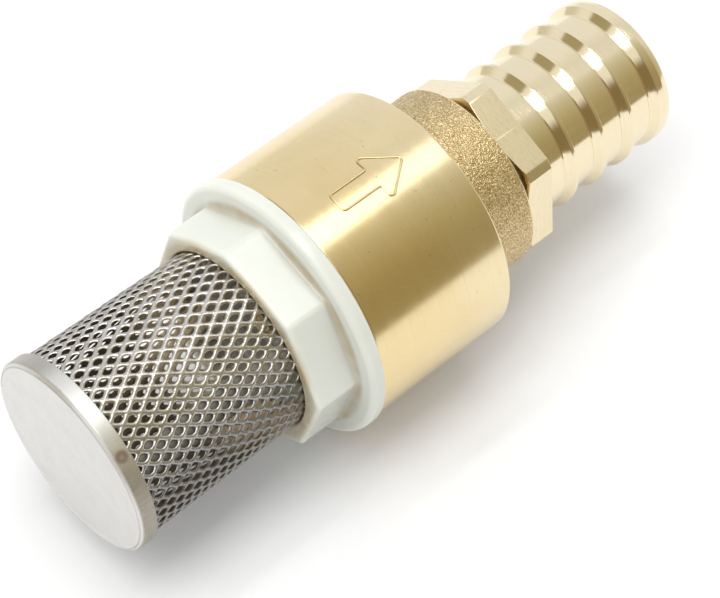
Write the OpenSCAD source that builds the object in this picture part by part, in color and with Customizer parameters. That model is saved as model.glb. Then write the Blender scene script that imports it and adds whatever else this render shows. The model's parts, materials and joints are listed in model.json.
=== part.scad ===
// Spring-loaded foot valve with a stainless strainer basket and a barbed hose tail.
// Stations (names ending in _x) are measured along the flow axis from the inlet rim of the
// brass body, positive towards the hose. The finished part lies along +X, with its origin on
// the axis in the middle of the last ridge, which holds the hose.

/* [Brass body] */
// Outside diameter of the turned body
body_d = 42; // [41.6:0.1:42.6]
// Length of the turned body, from its inlet rim to its shoulder
body_len = 25.4; // [25.2:0.1:26.4]
// Outside diameter of the round cast neck
neck_d = 30.6; // [30:0.1:32]
// Length of the neck beyond the shoulder
neck_len = 10.45; // [10:0.05:10.6]
// Bore of the neck over its thread crests
neck_bore_d = 26.4; // [26:0.1:27]
// Diameter of the chamber that the poppet moves in
chamber_d = 34; // [33.6:0.1:34.4]

/* [Hose tail] */
// Width across the flats of the spanner hexagon
tail_hex_af = 26.8; // [26:0.1:27.4]
// Width across the six small flats that cut the hexagon's corners
tail_hex_corner_af = 30; // [29.6:0.1:30.4]
// Angle of the hexagon about the axis
tail_hex_turn = 54.2; // [0:0.1:60]
// Outside diameter over the ridge crests
crest_d = 25.3; // [25:0.1:25.6]
// Outside diameter of the lands between the ridges
land_d = 23.4; // [23:0.1:24]
// Bore of the hose tail
tail_bore_d = 19.6; // [18:0.1:20]
// Station of the first crest
first_crest_x = 47.65; // [47.2:0.05:48]
// Distance from one crest to the next
crest_pitch = 6.2; // [6:0.05:6.4]
// Number of ridges
crest_count = 4; // [2:1:4]

/* [Nylon bonnet] */
// Outside diameter of the round flange
flange_d = 42.8; // [42.6:0.1:43]
// Thickness of the flange
flange_t = 2.45; // [2:0.05:3]
// Width across the flats of the octagon
octagon_af = 34; // [33.4:0.1:34.4]
// Length of the bonnet in front of the body's rim
bonnet_front = 10; // [9.5:0.1:10.5]
// Angle of the octagon about the axis
octagon_turn = 40.4; // [0:0.1:45]
// Bore of the valve seat
seat_bore_d = 21; // [20:0.1:21.6]

/* [Strainer] */
// Overall distance from the cap's flat face to the body's rim
strainer_reach = 40.6; // [39:0.1:42]
// Outside diameter of the pressed cap
cap_d = 31.7; // [31.6:0.05:31.9]
// Depth of the cap's skirt
cap_depth = 2.85; // [2.4:0.05:3.2]
// Sheet thickness of the cap
cap_t = 0.4; // [0.35:0.01:0.42]
// Outside diameter of the mesh at the cap
mesh_cap_d = 30.7; // [30.4:0.1:30.7]
// Outside diameter of the mesh at the bonnet
mesh_bonnet_d = 29.8; // [29.4:0.1:29.9]
// Thickness of the expanded mesh
mesh_t = 0.9; // [0.6:0.05:1]
// Windows round the mesh
window_count = 12; // [8:2:18]
// Rows of windows along the mesh
window_rows = 5; // [2:1:8]
// Side of a window, which stands on its corner
window_side = 2.6; // [1:0.1:2.6]

/* [Poppet] */
// Lift of the poppet from shut to fully open
lift = 5; // [4:0.1:5]
// Diameter of the poppet disc
poppet_d = 25.6; // [25:0.1:26]
// Thickness of the poppet disc
poppet_t = 2.5; // [2.2:0.1:2.6]
// Diameter of the stem
stem_d = 4; // [3.6:0.1:4]
// Radial running clearance between the stem and each of its guides
stem_clearance = 0.05; // [0.02:0.01:0.1]
// Wire diameter of the return spring
wire_d = 0.7; // [0.6:0.05:0.8]
// Coils of the return spring
spring_coils = 4; // [3:0.5:4]

/* [Hidden] */
$fn = 96;

// Colours
brass_colour = "#d8bd78";
nylon_colour = "#ebebe0";
steel_colour = "#a8a59e";
cap_colour = "#d6d3cc";
rubber_colour = "#26262a";
ptfe_colour = "#f4f4f4";
acetal_colour = "#dcdcd2";

// Shared allowances
edge = 0.4;
cut_over = 1;
thread_gap = 0.15;

// Body stations and radii
neck_end_x = body_len + neck_len;
floor_x = 22.8;
throat_r = 11.8;
throat_end_x = 24.6;
chamber_r = chamber_d / 2;
bonnet_thread_r = 18;
bonnet_thread_depth = 8;
o_ring_seat_r = 19.6;
o_ring_seat_depth = 1.7;
neck_bore_r = neck_bore_d / 2;

// Hose tail stations
tail_start_x = 25;
tail_shank_r = neck_bore_r - 0.3;
tail_relief_r = 12.2;
hex_start_x = 36.6;
hex_chamfer = 0.75;
hex_end_x = 41.75;
ridge_rise = 2.2;
ridge_land = 0.7;
ridge_fall = 0.6;
last_land = 1.6;
crest_r = crest_d / 2;
land_r = land_d / 2;
tail_bore_r = tail_bore_d / 2;
last_crest_x = first_crest_x + (crest_count - 1) * crest_pitch;
tail_lip = 0.9;
tail_end_x = last_crest_x + last_land + tail_lip;
origin_x = last_crest_x + last_land / 2;

// Bonnet stations
skirt_r = bonnet_thread_r - thread_gap;
skirt_end_x = 7.4;
seat_x = 8;
seat_bore_r = seat_bore_d / 2;
seat_lip_w = 1;
socket_r = mesh_bonnet_d / 2 + 0.1;
socket_end_x = -5;
inlet_r = 12.6;
inlet_end_x = -1;
seat_bore_start_x = 3;
guide_hub_r = 4;
inlet_guide_x = [-2.5, 2.8];
inlet_arm_x = [-1, 2.4];
arm_w = 1.8;
arm_count = 3;

// Strainer stations
cap_face_x = -strainer_reach;
cap_edge_x = cap_face_x + cap_depth;
mesh_start_x = cap_face_x + cap_t + 0.2;
mesh_end_x = socket_end_x - 0.2;
window_first_x = -35.2;
window_last_x = -12.8;
strip_w = 5;
strip_t = 0.45;
strip_turn = 237;

// Poppet stations, shut
seal_gap = 0.05;
seal_x = seat_x + seal_gap;
disc_x = 10;
disc_end_x = disc_x + poppet_t;
pocket_depth = 1;
pocket_r = [4.8, 6.5];
clamp_x = 7.2;
clamp_r = 8.8;
lock_x = 6.4;
lock_r = 3.8;
nut_x = 4;
nut_af = 7;
stem_r = stem_d / 2;
stem_start_x = -5.5;
stem_end_x = 27.5;
collar_r = 3.4;
collar_end_x = 15;

// Outlet guide and spring stations
bush_x = [collar_end_x + lift + 0.2, 26.5];
bush_r = 3.2;
spider_x = 21;
spider_hub_r = 5.2;
spider_hub_end_x = 26;
spider_ring_w = 2.1;
spring_seat_t = 0.5;
spring_seat_r = 8;
spring_r = 5.65;
spring_start_x = disc_end_x - pocket_depth;
spring_end_x = spider_x - spring_seat_t;
snap_ring_x = [20.1, 20.9];
snap_ring_depth = 0.6;
snap_ring_w = 1.4;
snap_ring_angle = 336;

// Puts a shape drawn along Z at a station on the flow axis
module on_axis(x = 0) {
    translate([x - origin_x, 0, 0]) rotate([0, 90, 0]) children();
}

// A solid of revolution from points of [radius, station]
module turned(points) {
    on_axis() rotate_extrude() polygon(points);
}

// A plain round ring between two stations
module ring(x, r_in, r_out) {
    turned([[r_in, x[0]], [r_out, x[0]], [r_out, x[1]], [r_in, x[1]]]);
}

// Radius of a regular polygon's corners from its width across flats
function corner_r(af, sides) = af / 2 / cos(180 / sides);

// Outside radius of the tapered mesh at a station
function mesh_r(x) = let (s = (x - cap_edge_x) / (-bonnet_front - cap_edge_x))
    (mesh_cap_d + (mesh_bonnet_d - mesh_cap_d) * s) / 2;

module valve_body() {
    color(brass_colour) turned([
        [body_d / 2 - edge, 0],
        [body_d / 2, edge],
        [body_d / 2, body_len - edge],
        [body_d / 2 - edge, body_len],
        [neck_d / 2 + edge, body_len],
        [neck_d / 2, body_len + edge],
        [neck_d / 2, neck_end_x - edge],
        [neck_d / 2 - edge, neck_end_x],
        [neck_bore_r + edge, neck_end_x],
        [neck_bore_r, neck_end_x - edge],
        [neck_bore_r, throat_end_x],
        [throat_r, throat_end_x],
        [throat_r, floor_x],
        [chamber_r, floor_x],
        [chamber_r, snap_ring_x[1]],
        [chamber_r + snap_ring_depth, snap_ring_x[1]],
        [chamber_r + snap_ring_depth, snap_ring_x[0]],
        [chamber_r, snap_ring_x[0]],
        [chamber_r, bonnet_thread_depth + bonnet_thread_r - chamber_r],
        [bonnet_thread_r, bonnet_thread_depth],
        [bonnet_thread_r, o_ring_seat_depth],
        [o_ring_seat_r, o_ring_seat_depth],
        [o_ring_seat_r, 0]
    ]);
}

// Outline of one ridge, from its foot to the land behind it
function ridge(x) = [
    [land_r, x - ridge_rise],
    [crest_r, x],
    [crest_r, x + ridge_land],
    [land_r, x + ridge_land + ridge_fall]
];

module hose_tail() {
    ridges = [for (i = [0 : crest_count - 2]) each ridge(first_crest_x + i * crest_pitch)];
    color(brass_colour) {
        turned(concat(
            [
                [tail_bore_r, tail_start_x],
                [tail_shank_r - edge, tail_start_x],
                [tail_shank_r, tail_start_x + edge],
                [tail_shank_r, neck_end_x - edge],
                [tail_relief_r, neck_end_x],
                [tail_relief_r, hex_start_x + hex_chamfer],
                [land_r, hex_end_x]
            ],
            ridges,
            [
                [land_r, last_crest_x - ridge_rise],
                [crest_r, last_crest_x],
                [crest_r, last_crest_x + last_land],
                [crest_r - tail_lip / 2, tail_end_x],
                [tail_bore_r + edge, tail_end_x],
                [tail_bore_r, tail_end_x - edge]
            ]
        ));
        intersection() {
            on_axis(hex_start_x) rotate(tail_hex_turn + 30) difference() {
                cylinder(h = hex_end_x - hex_start_x, r = corner_r(tail_hex_af, 6), $fn = 6);
                translate([0, 0, -cut_over])
                    cylinder(h = hex_end_x - hex_start_x + 2 * cut_over, r = land_r);
            }
            on_axis(hex_start_x) rotate(tail_hex_turn)
                cylinder(h = hex_end_x - hex_start_x, r = corner_r(tail_hex_corner_af, 6), $fn = 6);
            turned([
                [0, hex_start_x],
                [tail_hex_af / 2, hex_start_x],
                [corner_r(tail_hex_corner_af, 6), hex_start_x + 2 * hex_chamfer],
                [corner_r(tail_hex_corner_af, 6), hex_end_x],
                [0, hex_end_x]
            ]);
        }
    }
}

module outlet_thread_seal() {
    color(ptfe_colour) ring([tail_start_x + edge, neck_end_x - edge], tail_shank_r, neck_bore_r);
}

// Three arms and a hub that carry a stem guide
module guide_arms(hub_x, arm_x, hub_r, reach_r) {
    on_axis(hub_x[0]) cylinder(h = hub_x[1] - hub_x[0], r = hub_r);
    for (i = [0 : arm_count - 1])
        on_axis(arm_x[0]) rotate(i * 360 / arm_count)
            translate([-reach_r, -arm_w / 2, 0]) cube([reach_r, arm_w, arm_x[1] - arm_x[0]]);
}

module strainer_bonnet() {
    octagon_r = corner_r(octagon_af, 8);
    color(nylon_colour) difference() {
        union() {
            difference() {
                union() {
                    turned([
                        [0, -flange_t],
                        [flange_d / 2 - edge, -flange_t],
                        [flange_d / 2, edge - flange_t],
                        [flange_d / 2, 0],
                        [skirt_r, 0],
                        [skirt_r, skirt_end_x],
                        [seat_bore_r + seat_lip_w, skirt_end_x],
                        [seat_bore_r + seat_lip_w, seat_x],
                        [0, seat_x]
                    ]);
                    intersection() {
                        on_axis(-bonnet_front) rotate(octagon_turn)
                            cylinder(h = bonnet_front - edge, r = octagon_r, $fn = 8);
                        turned([
                            [0, -bonnet_front],
                            [octagon_r - 2 * edge, -bonnet_front],
                            [octagon_r, 2 * edge - bonnet_front],
                            [octagon_r, 0],
                            [0, 0]
                        ]);
                    }
                }
                turned([
                    [0, -bonnet_front - cut_over],
                    [socket_r, -bonnet_front - cut_over],
                    [socket_r, socket_end_x],
                    [inlet_r, socket_end_x],
                    [inlet_r, inlet_end_x],
                    [seat_bore_r, seat_bore_start_x],
                    [seat_bore_r, seat_x + cut_over],
                    [0, seat_x + cut_over]
                ]);
            }
            guide_arms(inlet_guide_x, inlet_arm_x, guide_hub_r, inlet_r + edge);
        }
        on_axis(inlet_guide_x[0] - cut_over)
            cylinder(h = inlet_guide_x[1] - inlet_guide_x[0] + 2 * cut_over,
                     r = stem_r + stem_clearance);
    }
}

module bonnet_o_ring() {
    ring_r = (o_ring_seat_r - skirt_r) / 2;
    color(rubber_colour) on_axis() rotate_extrude()
        translate([skirt_r + ring_r, o_ring_seat_depth / 2]) circle(r = ring_r - thread_gap / 2);
}

// The tapered wall of the mesh between two stations, with inner and outer offsets
module mesh_wall(x, inset, t) {
    turned([
        [mesh_r(x[0]) - inset - t, x[0]],
        [mesh_r(x[0]) - inset, x[0]],
        [mesh_r(x[1]) - inset, x[1]],
        [mesh_r(x[1]) - inset - t, x[1]]
    ]);
}

module strainer_mesh() {
    row_pitch = (window_last_x - window_first_x) / (window_rows - 1);
    step = 360 / window_count;
    color(steel_colour) difference() {
        mesh_wall([mesh_start_x, mesh_end_x], 0, mesh_t);
        for (row = [0 : window_rows - 1])
            for (k = [0 : window_count / 2 - 1])
                on_axis(window_first_x + row * row_pitch)
                    rotate(k * step + (row % 2) * step / 2) rotate([0, 45, 0])
                        cube([window_side, cap_d + cut_over, window_side], center = true);
    }
}

module strainer_seam_strip() {
    mid_x = (cap_edge_x - bonnet_front) / 2;
    color(steel_colour) intersection() {
        mesh_wall([mesh_start_x, mesh_end_x], mesh_t, strip_t);
        on_axis(mid_x) rotate(strip_turn)
            translate([0, -strip_w / 2, -strainer_reach / 2]) cube([cap_d, strip_w, strainer_reach]);
    }
}

module strainer_cap() {
    cap_r = cap_d / 2;
    color(cap_colour) turned([
        [0, cap_face_x],
        [cap_r - edge, cap_face_x],
        [cap_r, cap_face_x + edge],
        [cap_r, cap_edge_x],
        [cap_r - cap_t, cap_edge_x],
        [cap_r - cap_t, cap_face_x + cap_t],
        [0, cap_face_x + cap_t]
    ]);
}

module poppet_disc() {
    color(acetal_colour) turned([
        [stem_r, disc_x],
        [poppet_d / 2, disc_x],
        [poppet_d / 2, disc_end_x - edge],
        [poppet_d / 2 - edge, disc_end_x],
        [pocket_r[1], disc_end_x],
        [pocket_r[1], spring_start_x],
        [pocket_r[0], spring_start_x],
        [pocket_r[0], disc_end_x],
        [stem_r, disc_end_x]
    ]);
}

module poppet_stem() {
    color(brass_colour) turned([
        [0, stem_start_x],
        [stem_r - edge, stem_start_x],
        [stem_r, stem_start_x + edge],
        [stem_r, disc_end_x],
        [collar_r, disc_end_x],
        [collar_r, collar_end_x],
        [stem_r, collar_end_x],
        [stem_r, stem_end_x - edge],
        [stem_r - edge, stem_end_x],
        [0, stem_end_x]
    ]);
}

module poppet_seal() {
    color(rubber_colour) ring([seal_x, disc_x], stem_r, poppet_d / 2 - edge);
}

module seal_clamp_washer() {
    color(steel_colour) ring([clamp_x, seal_x], stem_r, clamp_r);
}

module stem_lock_washer() {
    slit_w = 0.6;
    color(steel_colour) difference() {
        ring([lock_x, clamp_x], stem_r, lock_r);
        on_axis(lock_x - cut_over) translate([0, -slit_w / 2, 0])
            cube([lock_r + cut_over, slit_w, clamp_x - lock_x + 2 * cut_over]);
    }
}

module stem_nut() {
    color(steel_colour) on_axis(nut_x) difference() {
        cylinder(h = lock_x - nut_x, r = corner_r(nut_af, 6), $fn = 6);
        translate([0, 0, -cut_over]) cylinder(h = lock_x - nut_x + 2 * cut_over, r = stem_r);
    }
}

// Station of the spring wire's centre after a number of turns. The end coils lie close.
function spring_station(turn) =
    let (first = spring_start_x + wire_d / 2,
         last = spring_end_x - wire_d / 2,
         free_pitch = (last - first - 2 * wire_d) / (spring_coils - 2))
    turn < 1 ? first + wire_d * turn
    : turn > spring_coils - 1 ? last - wire_d * (spring_coils - turn)
    : first + wire_d + free_pitch * (turn - 1);

module return_spring() {
    sides = 8;
    steps = 20;
    rings = spring_coils * steps;
    points = [
        for (i = [0 : rings])
            let (a = 360 * i / steps, x = spring_station(i / steps))
            for (j = [0 : sides - 1])
                let (r = spring_r + wire_d / 2 * cos(360 * j / sides))
                [r * cos(a), r * sin(a), x + wire_d / 2 * sin(360 * j / sides)]
    ];
    walls = [
        for (i = [0 : rings - 1])
            for (j = [0 : sides - 1])
                let (a = i * sides + j, b = i * sides + (j + 1) % sides)
                [a, a + sides, b + sides, b]
    ];
    ends = [
        [for (j = [0 : sides - 1]) j],
        [for (j = [0 : sides - 1]) rings * sides + sides - 1 - j]
    ];
    color(steel_colour) on_axis() polyhedron(points = points, faces = concat(walls, ends));
}

module spring_seat_washer() {
    color(steel_colour) ring([spring_end_x, spider_x], bush_r, spring_seat_r);
}

module guide_spider() {
    ring_r = chamber_r - thread_gap / 2;
    color(acetal_colour) difference() {
        union() {
            ring([spider_x, floor_x], ring_r - spider_ring_w, ring_r);
            guide_arms([spider_x, spider_hub_end_x], [spider_x, floor_x], spider_hub_r,
                       ring_r - spider_ring_w + edge);
        }
        on_axis(spider_x - cut_over)
            cylinder(h = spider_hub_end_x - spider_x + 2 * cut_over, r = bush_r);
    }
}

module guide_bush() {
    color(acetal_colour) ring(bush_x, stem_r + stem_clearance, bush_r);
}

module guide_snap_ring() {
    outer_r = chamber_r + snap_ring_depth - thread_gap / 2;
    color(steel_colour) on_axis() rotate_extrude(angle = snap_ring_angle)
        translate([outer_r - snap_ring_w, snap_ring_x[0]])
            square([snap_ring_w, snap_ring_x[1] - snap_ring_x[0]]);
}

valve_body();
hose_tail();
outlet_thread_seal();
strainer_bonnet();
bonnet_o_ring();
strainer_mesh();
strainer_seam_strip();
strainer_cap();
poppet_disc();
poppet_stem();
poppet_seal();
seal_clamp_washer();
stem_lock_washer();
stem_nut();
return_spring();
spring_seat_washer();
guide_spider();
guide_bush();
guide_snap_ring();
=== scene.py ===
"""Visual model of a brass foot valve with a nylon bonnet, a strainer basket and a hose tail.

Lengths are in millimetres until a mesh is made. A station is a distance along the flow axis
from the inlet rim of the brass body, positive towards the hose. An angle is in degrees round
the flow axis, from the back (+Y) towards the top (+Z).
"""
import json
import math

import bmesh
import bpy
import numpy as np
from mathutils import Matrix, Vector, noise as perlin


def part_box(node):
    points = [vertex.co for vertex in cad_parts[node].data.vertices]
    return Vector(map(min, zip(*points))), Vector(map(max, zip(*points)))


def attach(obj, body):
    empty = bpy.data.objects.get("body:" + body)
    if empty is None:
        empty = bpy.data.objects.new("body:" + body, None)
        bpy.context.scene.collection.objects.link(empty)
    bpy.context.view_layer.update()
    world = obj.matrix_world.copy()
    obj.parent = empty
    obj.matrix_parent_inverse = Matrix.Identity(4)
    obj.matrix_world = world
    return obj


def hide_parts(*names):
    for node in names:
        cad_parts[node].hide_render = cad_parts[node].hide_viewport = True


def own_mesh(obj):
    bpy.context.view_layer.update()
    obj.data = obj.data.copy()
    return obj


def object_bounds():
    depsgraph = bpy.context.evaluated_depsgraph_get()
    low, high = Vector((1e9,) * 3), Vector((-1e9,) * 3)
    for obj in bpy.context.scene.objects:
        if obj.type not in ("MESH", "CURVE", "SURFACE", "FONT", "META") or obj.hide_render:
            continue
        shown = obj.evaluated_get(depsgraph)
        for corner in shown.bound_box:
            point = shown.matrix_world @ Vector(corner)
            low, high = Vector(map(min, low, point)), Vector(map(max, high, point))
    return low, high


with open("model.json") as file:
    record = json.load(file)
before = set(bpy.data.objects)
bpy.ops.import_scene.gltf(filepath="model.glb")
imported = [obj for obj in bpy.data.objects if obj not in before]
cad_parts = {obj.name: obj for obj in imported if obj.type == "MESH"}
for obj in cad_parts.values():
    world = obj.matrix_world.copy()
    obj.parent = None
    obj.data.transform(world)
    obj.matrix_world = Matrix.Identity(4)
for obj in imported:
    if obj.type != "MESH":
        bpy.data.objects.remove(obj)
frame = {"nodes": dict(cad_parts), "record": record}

MM = 0.001
MERGE_MM = 0.0005
cad_low, cad_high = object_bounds()

# The rim of the brass body is station 0
RIM_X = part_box("valve_body")[0].x / MM


def span(node):
    """First and last station of a CAD node."""
    low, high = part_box(node)
    return low.x / MM - RIM_X, high.x / MM - RIM_X


# Angle in degrees over which an edge looks sharp
SHARP_OVER = 40

# Body. A pair with no other note is a first and a last station
BODY_SIDES = 600
BODY_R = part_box("valve_body")[1].z / MM
BODY_END = 25.4
NECK_END = span("valve_body")[1]
NECK_R = 15.3
NECK_DIVISIONS = 66
NECK_BORE_R = 13.2
THROAT = (22.8, 24.6)
THROAT_R = 11.8
CHAMBER_R = 17.0
SNAP_GROOVE = (20.1, 20.9)
SNAP_GROOVE_R = 17.6
THREAD_R = 18.0
THREAD_END = 8.0
THREAD_RUNOUT_END = THREAD_END + THREAD_R - CHAMBER_R
O_RING_SEAT_R = 19.6
O_RING_SEAT_END = 1.7
GRAIN_HEIGHT = 0.085
GRAIN_SIZE = 0.33

# Raised flow arrow on the body: its middle's station and angle, its head's length and width
ARROW_MID = (13.0, 100.5)
ARROW_LENGTH = 12.6
ARROW_HEAD = (5.6, 8.6)
ARROW_SHAFT_W = 3.2
ARROW_LINE_W = 0.42
ARROW_LINE_H = 0.2
ARROW_ROUND = 0.5
# Section of its line: places across and heights, as shares of the line's width and height
ARROW_PROFILE = [(-0.5, -0.5), (-0.5, 0), (-0.32, 0.75), (-0.12, 1), (0.12, 1), (0.32, 0.75),
                 (0.5, 0), (0.5, -0.5)]

# Hose tail. Each corner of its hexagon is cut off flat, with an edge HEX_CUT_TURN to either side
TAIL_SIDES = 384
TAIL_START, TAIL_END = span("hose_tail")
TAIL_SHANK_R = 12.9
TAIL_RELIEF_R = 12.2
HEX_START = 36.6
HEX_END = 41.75
HEX_FLAT_R = 13.4
HEX_CORNER_CUT_R = 15.0
HEX_CORNER = 24.2
HEX_CUT_TURN = 3.1
HEX_SHARPNESS = 500
HEX_CONE_RISE = 2.6
LAND_R = 11.7
CREST_R = 12.65
FIRST_CREST = 47.65
CREST_PITCH = 6.2
CREST_COUNT = 4
RIDGE_RISE = 1.1
CREST_LAND = 0.6
FOOT_GROOVE = 0.08
END_ROUND = 1.2
TAIL_BORE_R = 9.8

# Nylon bonnet
BONNET_SIDES = 360
FLANGE_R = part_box("strainer_bonnet")[1].z / MM
FLANGE_START = -2.45
OCT_START = span("strainer_bonnet")[0]
OCT_FLAT_R = 17.0
OCT_CORNER = 40.4
OCT_SHARPNESS = 110
SOCKET_R = 15.0
SOCKET_END = -5.0
INLET_R = 12.6
INLET_END = -1.0
SEAT_R = 10.5
SEAT_BORE_START = 3.0
SEAT_LIP_R = 11.5
SKIRT_R = 17.85
SKIRT_END = 7.4
SEAT_END = span("strainer_bonnet")[1]
GUIDE_HUB = (-2.5, 2.8)
GUIDE_HUB_R = 4.0
GUIDE_HUB_SIDES = 48
GUIDE_BORE_R = 2.05
GUIDE_ARM = (-1.0, 2.4)
GUIDE_ARM_W = 1.8
GUIDE_ARMS = 3
GUIDE_ARM_BEVEL = 0.25

# Expanded mesh. MESH_R is its outer radius at either end, and the strands' middle lies MESH_SINK
# lower. A diamond cell is CELL_LONG along the axis, and there are CELLS_ROUND round it. A hole's
# half sizes are shares of its cell's half sizes, and HOLE_POINTED narrows its two ends.
MESH_START, MESH_END = span("strainer_mesh")
MESH_R = (15.35, 14.9)
MESH_SINK = 0.41
CELL_LONG = 3.2
CELLS_ROUND = 44
HALF_LONG = CELL_LONG / 2
HALF_TURN = math.pi / CELLS_ROUND
HOLE_LONG = 0.48
HOLE_SHORT = 0.43
HOLE_POINTED = 0.55
HOLE_POINTS = 16
STRAND_T = 0.52
# Rings from the top of a strand's crown, over the hole's edge, to the crown underneath: the share
# of the way from the cell's edge to the hole's, and the height as a share of STRAND_T
STRAND_PROFILE = [(0.0, 0.5), (0.4, 0.45), (0.8, 0.25), (1.0, 0.0), (0.55, -0.42), (0.0, -0.5)]
# Strands lean. A hole's edges rise and sink by up to STRAND_LEAN per half cell of width, and not
# at all at UPRIGHT_ANGLE
STRAND_LEAN = 0.55
UPRIGHT_ANGLE = 110.0

# Strip inside the mesh, along its seam: STRIP_GRID has its rings and the points across it
STRIP_ANGLE = 147.0
STRIP_W = 5.0
STRIP_T = 0.3
STRIP_GAP = 0.44
STRIP_GRID = (25, 13)

# Cap: its face lies CAP_DISH below the bead round it
CAP_SIDES = 480
CAP_FACE, CAP_EDGE = span("strainer_cap")
CAP_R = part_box("strainer_cap")[1].z / MM
CAP_T = 0.4
CAP_DISH = 0.12
CAP_BEAD_R = 15.1
CAP_GROOVE = 0.2
CAP_GROOVE_R = 15.3
CAP_SHOULDER = 0.6
CAP_SHOULDER_DIVISIONS = 24
# Spot weld in its skirt: its station and angle, and its height over the axis
WELD = (-39.1, 134.8)
WELD_HEIGHT = 11.0
WELD_R = 0.75
WELD_DEPTH = 0.09

# Return spring. OPEN_SPRING is the share of its length that is left at full lift
SPRING_START, SPRING_END = span("return_spring")
SPRING_R = 5.65
WIRE_R = 0.35
COILS = 4
COIL_STEPS = 36
WIRE_SIDES = 12

# Camera, in mm from the middle of the body's rim
CAMERA_AT = (-141.5, -169.21, 286.12)
CAMERA_RIGHT = (0.7349, -0.6781, 0.0)
CAMERA_UP = (0.5366, 0.5816, 0.6114)
CAMERA_LENS = 123.45
CAMERA_SENSOR = 36
CAMERA_CLIP_M = 0.01

# Base colours, linear
BRASS = (0.82, 0.67, 0.385)
BRASS_DARK = (0.70, 0.51, 0.24)
BRASS_PALE = (0.86, 0.76, 0.54)
CAST_BRASS = (0.80, 0.65, 0.38)
CAST_BRASS_DARK = (0.46, 0.33, 0.15)
NYLON = (0.605, 0.62, 0.56)
# The stained nylon serves both the real stains and specks and the painted shade inside the bonnet
# and by the flange
NYLON_STAIN_AND_SHADE = (0.40, 0.31, 0.15)
STEEL = (0.60, 0.585, 0.56)
STEEL_PALE = (0.70, 0.695, 0.68)
# The warm steel is both the steel's own warm tone and painted shade on the cap
STEEL_WARM_AND_SHADE = (0.32, 0.285, 0.225)
# Painted shade for the mesh's underside, where it mirrors the shadowed floor
STEEL_PAINTED_SHADE = (0.265, 0.265, 0.265)
# Painted shade for the inside of the mesh, and painted warm light for it near the bonnet
MESH_INSIDE_SHADE = (0.12, 0.09, 0.05)
MESH_INSIDE_GLOW = (0.85, 0.70, 0.46)
HEAT_TINT = (0.22, 0.13, 0.08)
STRIP_STEEL = (0.66, 0.68, 0.70)
STRIP_STEEL_DARK = (0.54, 0.56, 0.58)
ACETAL = (0.86, 0.86, 0.81)
ACETAL_DARK = (0.80, 0.80, 0.74)
RUBBER = (0.03, 0.03, 0.034)
RUBBER_PALE = (0.05, 0.05, 0.052)
PTFE = (0.9, 0.9, 0.9)
PTFE_DARK = (0.8, 0.8, 0.8)
PAPER = (0.77, 0.77, 0.77)
PAPER_DARK = (0.75, 0.75, 0.75)

# The studio's walls at the hose's end and at the strainer's: stops from the camera's side (0)
# to the far side (1). The far wall by the strainer has a dark doorway in it.
WALL_BY_HOSE = [
    (0.0, (0.38, 0.32, 0.18)), (0.08, (0.38, 0.32, 0.175)), (0.15, (0.46, 0.40, 0.22)),
    (0.29, (0.62, 0.58, 0.44)), (0.36, (0.72, 0.70, 0.60)), (0.42, (0.86, 0.85, 0.80)),
    (0.60, (0.84, 0.83, 0.80)), (0.75, (0.95, 0.95, 0.96)), (1.0, (0.93, 0.95, 0.98))]
WALL_BY_STRAINER = [
    (0.0, (0.26, 0.19, 0.09)), (0.21, (0.26, 0.19, 0.09)), (0.28, (0.95, 0.94, 0.90)),
    (0.65, (0.95, 0.94, 0.92)), (0.67, (0.42, 0.37, 0.22)), (0.86, (0.42, 0.37, 0.22)),
    (0.88, (0.95, 0.95, 0.94)), (0.95, (0.95, 0.95, 0.94)), (1.0, (0.66, 0.60, 0.44))]
# The plain light that everything but a mirror gets, on the camera's side and on the far side
SOFT_LIGHT_NEAR = (0.85, 0.85, 0.85)
SOFT_LIGHT_FAR = (1.1, 1.1, 1.1)
BACKDROP = (0.95, 0.95, 0.95)
FLOOR_HALF = 0.25
# Softboxes: their direction from the valve, their distance and size in m, and their power
OVERHEAD = {"towards": (-0.2, -0.045, 1), "distance": 1.5, "size": (2.2, 0.62), "power": 13.5}
KEY = {"towards": (-0.15, 0.28, 0.95), "distance": 1.5, "size": (1.8, 0.12), "power": 4}


# ---------------------------------------------------------------- meshes


def round_axis(station, radius, angle):
    """The point at a station, at a radius and an angle in radians round the flow axis."""
    return station, radius * math.cos(angle), radius * math.sin(angle)


def clean_object(name, points, faces):
    """An object from points in mm, with station 0 at the rim, without doubles or slivers."""
    mesh = bpy.data.meshes.new(name)
    placed = (np.asarray(points, float) + (RIM_X, 0, 0)) * MM
    mesh.from_pydata(placed.tolist(), [], [list(face) for face in faces])
    work = bmesh.new()
    work.from_mesh(mesh)
    bmesh.ops.remove_doubles(work, verts=work.verts, dist=MERGE_MM * MM)
    bmesh.ops.dissolve_degenerate(work, edges=work.edges, dist=MERGE_MM * MM)
    loose = [edge for edge in work.edges if not edge.link_faces]
    bmesh.ops.delete(work, geom=loose, context="EDGES")
    bmesh.ops.recalc_face_normals(work, faces=work.faces)
    work.to_mesh(mesh)
    work.free()
    thing = bpy.data.objects.new(name, mesh)
    bpy.context.scene.collection.objects.link(thing)
    return thing


def shade(thing):
    """Smooth shading with sharp edges over SHARP_OVER, and flat parts that stay flat."""
    thing.data.shade_smooth()
    thing.data.set_sharp_from_angle(angle=math.radians(SHARP_OVER))
    weighted = thing.modifiers.new("weighted", "WEIGHTED_NORMAL")
    weighted.keep_sharp = True


def lengths(vectors):
    """Length of each vector, never quite zero."""
    return np.maximum(np.linalg.norm(vectors, axis=-1, keepdims=True), 1e-9)


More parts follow.
